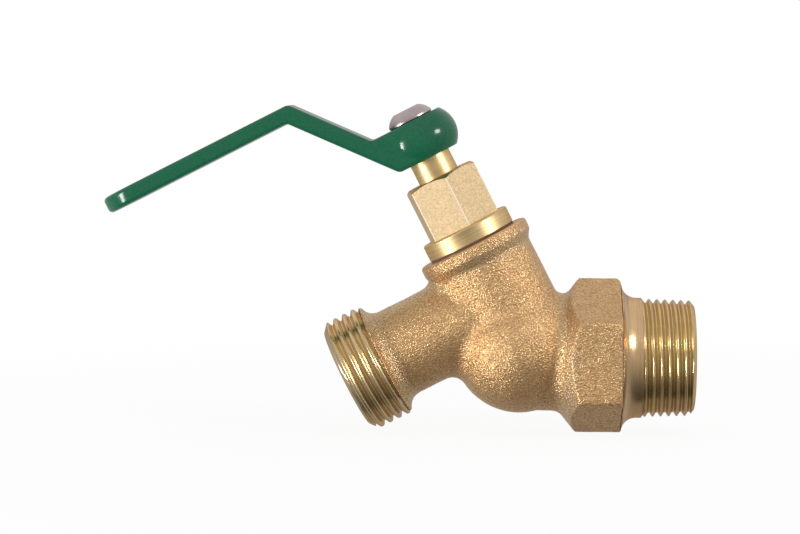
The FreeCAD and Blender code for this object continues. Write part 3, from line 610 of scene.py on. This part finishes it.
class BIBB_OT_finishes(bpy.types.Operator):
    """Make the shared node groups and the materials."""

    bl_idname = "bibb.finishes"
    bl_label = "Finishes"

    def execute(self, context):
        finishes = context.scene.bibb_finishes
        grain_group()
        turning_group()
        thread_tree()
        cast_bronze()
        for name, colour, axis, roughness, spacing, depth in (
                ("cut_bronze_inlet", finishes.pipe_bronze, INLET, 0.23, 0.12 * MM, 0.01 * MM),
                ("cut_bronze_outlet", finishes.hose_bronze, OUTLET, 0.26, 0.12 * MM, 0.005 * MM),
                ("cut_bronze_neck", finishes.neck_bronze, INLET, 0.25, 0.14 * MM, 0.05 * MM),
                # painted reflection: the paler colour of the corner against the inlet's hexagon
                ("cut_bronze_crease_reflection", finishes.crease_reflection_cut, INLET, 0.30, 0.14 * MM, 0.03 * MM),
                ("cut_bronze_body", finishes.cut_bronze, STEM, 0.28, 0.12 * MM, 0.01 * MM),
                ("lathe_brass", finishes.brass, STEM, 0.41, 0.12 * MM, 0.006 * MM)):
            turned_metal(name, colour, axis, roughness, spacing, depth)
        drawn_brass()
        highlight_line_brass()
        green_enamel()
        screw_steel()
        for name, colour, roughness, size, depth in (
                ("nitrile_rubber", finishes.rubber, 0.55, 0.4 * MM, 0.01 * MM),
                ("pressed_fibre", finishes.fibre, 0.8, 0.25 * MM, 0.03 * MM),
                ("fired_ceramic", finishes.ceramic, 0.22, 0.6 * MM, 0.002 * MM),
                ("white_plastic", finishes.plastic, 0.4, 0.8 * MM, 0.005 * MM)):
            moulded(name, colour, roughness, size, depth)
        return {"FINISHED"}


class BIBB_OT_cast_body(bpy.types.Operator):
    """Make the bronze casting between its two threads."""

    bl_idname = "bibb.cast_body"
    bl_label = "Cast body"

    def execute(self, context):
        casting = context.scene.bibb_casting
        body = new_object("cast_body", copy_of("valve_body"))
        cutters = [self.cut_off(body, axis, start)
                   for axis, start in ((INLET, HEXAGON_FRONT), (OUTLET, HOSE_THREAD_START))]
        remesh = body.modifiers.new("Skin", "REMESH")
        remesh.mode = "VOXEL"
        remesh.voxel_size = casting.voxel
        settle(body)
        for cutter in cutters:
            bpy.data.objects.remove(cutter)
        self.mark_cast(body.data)
        self.mark_shaded_corners(body.data)
        grow(body, casting_tree(),
             {"Grain Size": casting.grain_size, "Grain Height": casting.grain_height,
              "Wave Size": casting.wave_size, "Wave Height": casting.wave_height,
              "Seam Height": casting.seam_height, "Seam Width": casting.seam_width,
              "Material": bpy.data.materials["sand_cast_bronze"]})
        self.paint(body.data)
        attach(body, "valve")
        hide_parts("valve_body")
        return {"FINISHED"}

    def cut_off(self, body, axis, start):
        """Takes off what lies past a place on an axis, and gives the block that does it."""
        block = bmesh.new()
        size = 60 * MM
        bmesh.ops.create_cube(block, size=size)
        mesh = bpy.data.meshes.new("cutter")
        block.to_mesh(mesh)
        block.free()
        mesh.transform(axis @ Matrix.Translation((0, 0, start + size / 2)))
        cutter = new_object("cutter", mesh)
        cut = body.modifiers.new("Cut", "BOOLEAN")
        cut.operation = "DIFFERENCE"
        cut.solver = "EXACT"
        cut.object = cutter
        return cutter

    def mark_cast(self, mesh):
        """Marks each point with 1 where the skin is as cast and 0 where it is machined."""
        marks = mesh.attributes.new("as_cast", "FLOAT", "POINT")
        bores = [(axis.inverted(), radius, lowest) for axis, radius, lowest in BORES]
        faces = [(axis.inverted(), lowest) for axis, lowest in FACES]
        for vertex in mesh.vertices:
            bored = any((to_axis @ vertex.co).xy.length < radius and (to_axis @ vertex.co).z > lowest
                        for to_axis, radius, lowest in bores)
            faced = any((to_axis @ vertex.co).z > lowest for to_axis, lowest in faces)
            marks.data[vertex.index].value = 0.0 if bored or faced else 1.0

    def mark_shaded_corners(self, mesh):
        """Marks each point with its nearness to a hollow corner, where a duller, olive colour is painted as shade.
        """
        marks = mesh.attributes.new("corner", "FLOAT", "POINT")
        to_axes = [(axis.inverted(), place, width) for axis, place, width in SHADED_CASTING_CORNERS]
        for vertex in mesh.vertices:
            marks.data[vertex.index].value = max(
                math.exp(-(((to_axis @ vertex.co).z - place) / width) ** 2)
                for to_axis, place, width in to_axes)

    def paint(self, mesh):
        """Gives the cast skin and the machined faces their own finishes."""
        set_finishes(mesh, "sand_cast_bronze", "cut_bronze_body")
        marks = mesh.attributes["as_cast"].data
        for face in mesh.polygons:
            cast = sum(marks[index].value for index in face.vertices)
            face.material_index = 0 if cast > 0.5 * len(face.vertices) else 1
        mesh.shade_smooth()


def keep_in_hexagon(mesh, matrix):
    """Draws points of a turned mesh in to the flats of the casting's hexagon."""
    for vertex in mesh.vertices:
        placed = matrix @ vertex.co
        for step in range(3):
            angle = math.radians(60 * step)
            reach = abs(placed.y * math.cos(angle) + placed.z * math.sin(angle))
            if reach > HEXAGON_HALF_WIDTH:
                vertex.co.xy *= HEXAGON_HALF_WIDTH / reach
                placed = matrix @ vertex.co


def ring_mesh(points, segments, phase):
    """A mesh turned from the points, each a radius and a height."""
    work = bmesh.new()
    rings = []
    for radius, height in points:
        ring = []
        for step in range(segments):
            angle = phase + math.tau * step / segments
            ring.append(work.verts.new((radius * math.cos(angle), radius * math.sin(angle), height)))
        rings.append(ring)
    for lower, upper in zip(rings, rings[1:]):
        for step in range(segments):
            ahead = (step + 1) % segments
            work.faces.new((lower[step], lower[ahead], upper[ahead], upper[step]))
    mesh = bpy.data.meshes.new("ring")
    work.to_mesh(mesh)
    work.free()
    return mesh


def threaded_end(name, matrix, finishes, start_points, pitch, values):
    """A thread with the turned surfaces that close it: its start, its bore and its end face.

    The first finish is the thread's and the second, if there is one, that of its start.
    """
    threads = bpy.context.scene.bibb_threads
    crest, length = values["Crest Radius"], values["Length"]
    values = {"Pitch": pitch, "Depth": threads.depth_ratio * pitch, "Shoulder Slope": 1.3,
              "Segments": threads.segments, "Turns": math.ceil(length / pitch) + 1,
              "Material": bpy.data.materials[finishes[0]], **values}
    piece = new_object(name, bpy.data.meshes.new(name))
    mesh = grow(piece, bpy.data.node_groups["Helical Thread"], values)
    end_points = [(BORE_RADIUS, length - BORE_BEVEL), (BORE_RADIUS + BORE_BEVEL, length),
                  (crest - values["Lead-in Depth"], length)]
    rest = ring_mesh(start_points + end_points, threads.segments, values["Phase"])
    keep_in_hexagon(rest, matrix)
    work = bmesh.new()
    work.from_mesh(mesh)
    work.from_mesh(rest)
    bpy.data.meshes.remove(rest)
    bmesh.ops.remove_doubles(work, verts=work.verts, dist=2e-6)
    bmesh.ops.recalc_face_normals(work, faces=work.faces)
    work.to_mesh(mesh)
    work.free()
    set_finishes(mesh, *finishes)
    thread_start = 0.1 * MM
    start_finish = min(1, len(finishes) - 1)
    for face in mesh.polygons:
        face.material_index = start_finish if face.center.z < thread_start else 0
    mesh.transform(matrix)
    shade(mesh, sharp_angle=44)
    return piece


class BIBB_OT_pipe_thread(bpy.types.Operator):
    """Make the inlet's machined neck and its tapered pipe thread."""

    bl_idname = "bibb.pipe_thread"
    bl_label = "Pipe thread"

    def execute(self, context):
        threads = context.scene.bibb_threads
        neck = 13.7 * MM
        fillet = 3.5 * MM
        faced_radius = 16.85 * MM
        fillet_steps = 18
        points = [(neck, 0.0)]
        for step in range(fillet_steps + 1):
            angle = math.radians(90 * step / fillet_steps)
            points.append((min(neck + fillet * (1 - math.cos(angle)), faced_radius),
                           HEXAGON_FRONT + fillet * (1 - math.sin(angle))))
        points.append((BORE_RADIUS, HEXAGON_FRONT))
        piece = threaded_end(
            "inlet_pipe_thread", INLET,
            ["cut_bronze_inlet", "cut_bronze_neck", "sand_cast_bronze", "cut_bronze_crease_reflection"],
            points, threads.pipe_pitch,
            {"Crest Radius": MOUNTS["inlet_thread"]["dims"]["r_mm"] * MM + threads.crest_rise,
             "Length": INLET_END, "Taper": threads.pipe_taper,
             "Lead-in Length": 1.3 * MM, "Lead-in Depth": 1.6 * MM, "Shoulder Radius": neck,
             "Crest Flat": 0.05, "Root Flat": 0.06, "Rounding": 0.75, "Phase": -0.2})
        self.paint_corner(piece.data)
        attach(piece, "valve")
        return {"FINISHED"}

    def paint_corner(self, mesh):
        """Gives the third finish to faces in the hexagon's flats, and the fourth, a paler colour painted as
        reflection, to its front.
        """
        corner_end = HEXAGON_FRONT + 1.1 * MM
        outside = BORE_RADIUS + 1 * MM
        near_flat = HEXAGON_HALF_WIDTH - 0.05 * MM
        flats = [Vector((0.0, math.cos(math.radians(60 * step)), math.sin(math.radians(60 * step))))
                 for step in range(6)]
        for face in mesh.polygons:
            if any(face.center.dot(flat) > near_flat for flat in flats):
                face.material_index = 2
            elif face.center.x < corner_end and face.center.yz.length > outside:
                face.material_index = 3


class BIBB_OT_hose_thread(bpy.types.Operator):
    """Make the outlet's hose thread."""

    bl_idname = "bibb.hose_thread"
    bl_label = "Hose thread"

    def execute(self, context):
        threads = context.scene.bibb_threads
        lip = 13.1 * MM
        set_back = 0.5 * MM
        piece = threaded_end(
            "outlet_hose_thread", OUTLET @ Matrix.Translation((0, 0, HOSE_THREAD_START)),
            ["cut_bronze_outlet"], [(lip, 0.0), (BORE_RADIUS, 0.0)], threads.hose_pitch,
            {"Crest Radius": MOUNTS["outlet_hose_thread"]["dims"]["r_mm"] * MM,
             "Length": HOSE_THREAD_END - HOSE_THREAD_START, "Taper": 0.0,
             "Lead-in Length": 1.5 * MM, "Lead-in Depth": 1.8 * MM, "Shoulder Radius": lip,
             "Crest Flat": 0.16, "Root Flat": 0.04, "Rounding": 0.9,
             "Phase": -math.tau * set_back / threads.hose_pitch})
        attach(piece, "valve")
        return {"FINISHED"}


class BIBB_OT_headwork(bpy.types.Operator):
    """Make the headwork's housing, with the corners of its hexagon broken."""

    bl_idname = "bibb.headwork"
    bl_label = "Headwork"

    def execute(self, context):
        housing = new_object("broken_edge_headwork", copy_of("headwork_housing"))
        mesh = housing.data
        to_stem = STEM.inverted()
        turn_to_stem = to_stem.to_3x3()
        work = bmesh.new()
        work.from_mesh(mesh)
        bmesh.ops.dissolve_limit(work, angle_limit=math.radians(0.5), verts=work.verts,
                                 edges=work.edges)
        corners = [edge for edge in work.edges if self.is_hexagon_corner(edge, to_stem, turn_to_stem)]
        bmesh.ops.bevel(work, geom=corners, offset=context.scene.bibb_edges.broken_corner,
                        offset_type="OFFSET", segments=2, profile=0.5, affect="EDGES",
                        clamp_overlap=False)
        work.to_mesh(mesh)
        work.free()
        set_finishes(mesh, "lathe_brass", "drawn_brass", "highlight_line_brass")
        shade(mesh, sharp_angle=14)
        for face in mesh.polygons:
            upright = abs((turn_to_stem @ face.normal).z) < 0.05
            if upright and HEADWORK_FLATS[0] < (to_stem @ face.center).z < HEADWORK_FLATS[1]:
                # the narrow faces on the corners take the painted highlight
                face.material_index = 1 if face.area > FLAT_AREA else 2
                face.use_smooth = False
            else:
                face.material_index = 0
        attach(housing, "valve")
        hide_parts("headwork_housing")
        return {"FINISHED"}

    def is_hexagon_corner(self, edge, to_stem, turn_to_stem):
        """True for an edge along the stem where two flats of the hexagon meet, at 60 degrees."""
        start, end = (vertex.co for vertex in edge.verts)
        in_hexagon = HEADWORK_FLATS[0] < (to_stem @ ((start + end) / 2)).z < HEADWORK_FLATS[1]
        parallel = abs((turn_to_stem @ (end - start)).normalized().z) > 0.999
        return (len(edge.link_faces) == 2 and in_hexagon and parallel
                and edge.calc_face_angle() > math.radians(50))


class BIBB_OT_small_parts(bpy.types.Operator):
    """Finish the stem, the screw, the gasket and the small parts inside."""

    bl_idname = "bibb.small_parts"
    bl_label = "Small parts"

    def execute(self, context):
        for part in frame["record"]["subparts"]:
            if part["node"] not in REPLACED_NODES:
                finish = bpy.data.materials[SLOT_FINISHES[part["material_slot"]]]
                for slot in frame["nodes"][part["node"]].material_slots:
                    slot.material = finish
        return {"FINISHED"}


class BIBB_OT_lever(bpy.types.Operator):
    """Make the painted lever."""

    bl_idname = "bibb.lever"
    bl_label = "Lever"

    def execute(self, context):
        lever = new_object("enamelled_lever", copy_of("lever_handle"))
        bevel = lever.modifiers.new("Paint on edges", "BEVEL")
        bevel.width = context.scene.bibb_edges.paint_round
        bevel.segments = 3
        bevel.limit_method = "ANGLE"
        bevel.angle_limit = math.radians(35)
        mesh = settle(lever)
        set_finishes(mesh, "gloss_enamel")
        shade(mesh, sharp_angle=40)
        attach(lever, "spindle")
        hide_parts("lever_handle")
        return {"FINISHED"}


class BIBB_OT_stage(bpy.types.Operator):
    """Make the floor, the studio light and the camera."""

    bl_idname = "bibb.stage"
    bl_label = "Stage"

    def execute(self, context):
        studio = context.scene.bibb_studio
        self.make_camera(context, studio)
        self.make_floor(studio)
        self.make_world(context)
        for which, name in enumerate(("softbox_left", "softbox_right")):
            self.make_lamp(name, which, studio)
        context.scene.view_settings.view_transform = "Standard"
        return {"FINISHED"}

    def make_camera(self, context, studio):
        """A camera that looks as the photograph does."""
        azimuth, elevation = studio.azimuth, studio.elevation
        forward = Vector((-math.sin(azimuth) * math.cos(elevation),
                          math.cos(azimuth) * math.cos(elevation), -math.sin(elevation)))
        level = Vector((math.cos(azimuth), math.sin(azimuth), 0.0))
        upright = level.cross(forward)
        right = level * math.cos(studio.roll) + upright * math.sin(studio.roll)
        up = right.cross(forward)
        data = bpy.data.cameras.new("camera")
        data.sensor_width = 36.0
        data.lens = data.sensor_width * studio.distance / studio.width
        data.clip_start = 0.01
        data.clip_end = 100.0
        camera = new_object("camera", data)
        place = Vector(studio.target) - forward * studio.distance
        turn = Matrix((right, up, -forward)).transposed().to_4x4()
        camera.matrix_world = Matrix.Translation(place) @ turn
        context.scene.camera = camera

    def make_floor(self, studio):
        """A wide pale floor with the object's shadow, which turns to the background's white."""
        work = bmesh.new()
        bmesh.ops.create_grid(work, x_segments=8, y_segments=8, size=12.0)
        mesh = bpy.data.meshes.new("floor")
        work.to_mesh(mesh)
        work.free()
        mesh.transform(Matrix.Translation((0, 0, -studio.floor_drop)))
        floor = new_object("floor", mesh)
        tree, shader, place = new_material("pale_floor")
        shader.inputs["Base Color"].default_value = (0.8, 0.8, 0.8, 1.0)
        shader.inputs["Roughness"].default_value = 0.9
        white = node(tree, "ShaderNodeEmission", {"Strength": 1.0})
        light_path = node(tree, "ShaderNodeLightPath").outputs
        away = node(tree, "ShaderNodeVectorMath", {0: place}, operation="LENGTH").outputs["Value"]
        plain = masked(tree, away, studio.fade_start, studio.fade_end,
                       interpolation_type="SMOOTHSTEP")
        plain = ranged(tree, plain, 0.93, 1.0)
        mix = node(tree, "ShaderNodeMixShader",
                   {0: calc(tree, "MULTIPLY", light_path["Is Camera Ray"], plain),
                    1: shader.outputs[0], 2: white.outputs[0]})
        finish_tree(tree, tree.nodes["Material Output"], {"Surface": mix.outputs[0]})
        set_finishes(mesh, "pale_floor")
        floor.visible_glossy = False
        floor.visible_shadow = False

    def make_world(self, context):
        """White to the camera, and to metal a pale room that is dark on the camera's side."""
        world = bpy.data.worlds.new("studio")
        context.scene.world = world
        world.use_nodes = True
        tree = world.node_tree
        direction = node(tree, "ShaderNodeTexCoord").outputs["Generated"]
        parts = node(tree, "ShaderNodeSeparateXYZ", {"Vector": direction}).outputs
        height = calc(tree, "MULTIPLY_ADD", parts["Z"], 0.5, 0.5)
        sides = []
        for steps in (FRONT_OF_ROOM, BACK_OF_ROOM):
            ramp = node(tree, "ShaderNodeValToRGB", {"Fac": height})
            ramp.color_ramp.interpolation = "B_SPLINE"
            stops = ramp.color_ramp.elements
            while len(stops) < len(steps):
                stops.new(0.5)
            for stop, (place, brightness) in zip(stops, steps):
                stop.position = place * 0.5 + 0.5
                stop.color = (brightness, brightness, brightness, 1.0)
            sides.append(ramp.outputs["Color"])
        flat = calc(tree, "SUBTRACT", 1, calc(tree, "MULTIPLY", parts["Z"], parts["Z"]))
        flat = calc(tree, "SQRT", calc(tree, "MAXIMUM", flat, 1e-6))
        below = calc(tree, "MAXIMUM", calc(tree, "MULTIPLY", parts["Z"], -2), 0)
        below = calc(tree, "MINIMUM", below, 1)
        behind = masked(tree, calc(tree, "DIVIDE", parts["Y"], flat),
                        ranged(tree, below, *FRONT_ENDS), BACK_STARTS, interpolation_type="SMOOTHSTEP")
        room = blend_colours(tree, behind, *sides)
        camera_ray = node(tree, "ShaderNodeLightPath").outputs["Is Camera Ray"]
        seen = blend_colours(tree, camera_ray, room, (1.0, 1.0, 1.0))
        finish_tree(tree, tree.nodes["Background"], {"Color": seen})

    def make_lamp(self, name, which, studio):
        """A softbox that faces the object."""
        turn, rise = studio.lamp_turn[which], studio.lamp_rise[which]
        data = bpy.data.lights.new(name, "AREA")
        data.shape = "RECTANGLE"
        data.size = studio.lamp_width[which]
        data.size_y = studio.lamp_height[which]
        data.energy = studio.lamp_power[which]
        lamp = new_object(name, data)
        back = Vector((math.sin(turn) * math.cos(rise), -math.cos(turn) * math.cos(rise),
                       math.sin(rise)))
        wide = UP.cross(back).normalized()
        tall = back.cross(wide)
        facing = Matrix((wide, tall, back)).transposed().to_4x4()
        place = Vector(studio.target) + back * studio.lamp_distance
        lamp.matrix_world = Matrix.Translation(place) @ facing


class BIBB_PT_panel(bpy.types.Panel):
    """The pieces of the hose bibb, in the order in which they are made."""

    bl_idname = "BIBB_PT_panel"
    bl_label = "Hose Bibb"
    bl_space_type = "VIEW_3D"
    bl_region_type = "UI"
    bl_category = "Hose Bibb"

    def draw(self, context):
        for operator in OPERATORS:
            self.layout.operator(operator.bl_idname)


SETTINGS = {
    "bibb_casting": CastingSettings,
    "bibb_threads": ThreadSettings,
    "bibb_edges": EdgeSettings,
    "bibb_finishes": FinishSettings,
    "bibb_studio": StudioSettings,
}
OPERATORS = (BIBB_OT_finishes, BIBB_OT_cast_body, BIBB_OT_pipe_thread, BIBB_OT_hose_thread,
             BIBB_OT_headwork, BIBB_OT_small_parts, BIBB_OT_lever, BIBB_OT_stage)


def register():
    for name, settings in SETTINGS.items():
        bpy.utils.register_class(settings)
        setattr(bpy.types.Scene, name, PointerProperty(type=settings))
    for operator in OPERATORS:
        bpy.utils.register_class(operator)
    bpy.utils.register_class(BIBB_PT_panel)


def unregister():
    bpy.utils.unregister_class(BIBB_PT_panel)
    for operator in reversed(OPERATORS):
        bpy.utils.unregister_class(operator)
    for name, settings in reversed(SETTINGS.items()):
        delattr(bpy.types.Scene, name)
        bpy.utils.unregister_class(settings)


def main():
    register()
    bpy.ops.bibb.finishes()
    bpy.ops.bibb.cast_body()
    bpy.ops.bibb.pipe_thread()
    bpy.ops.bibb.hose_thread()
    bpy.ops.bibb.headwork()
    bpy.ops.bibb.small_parts()
    bpy.ops.bibb.lever()
    bpy.ops.bibb.stage()


if __name__ == "__main__":
    main()
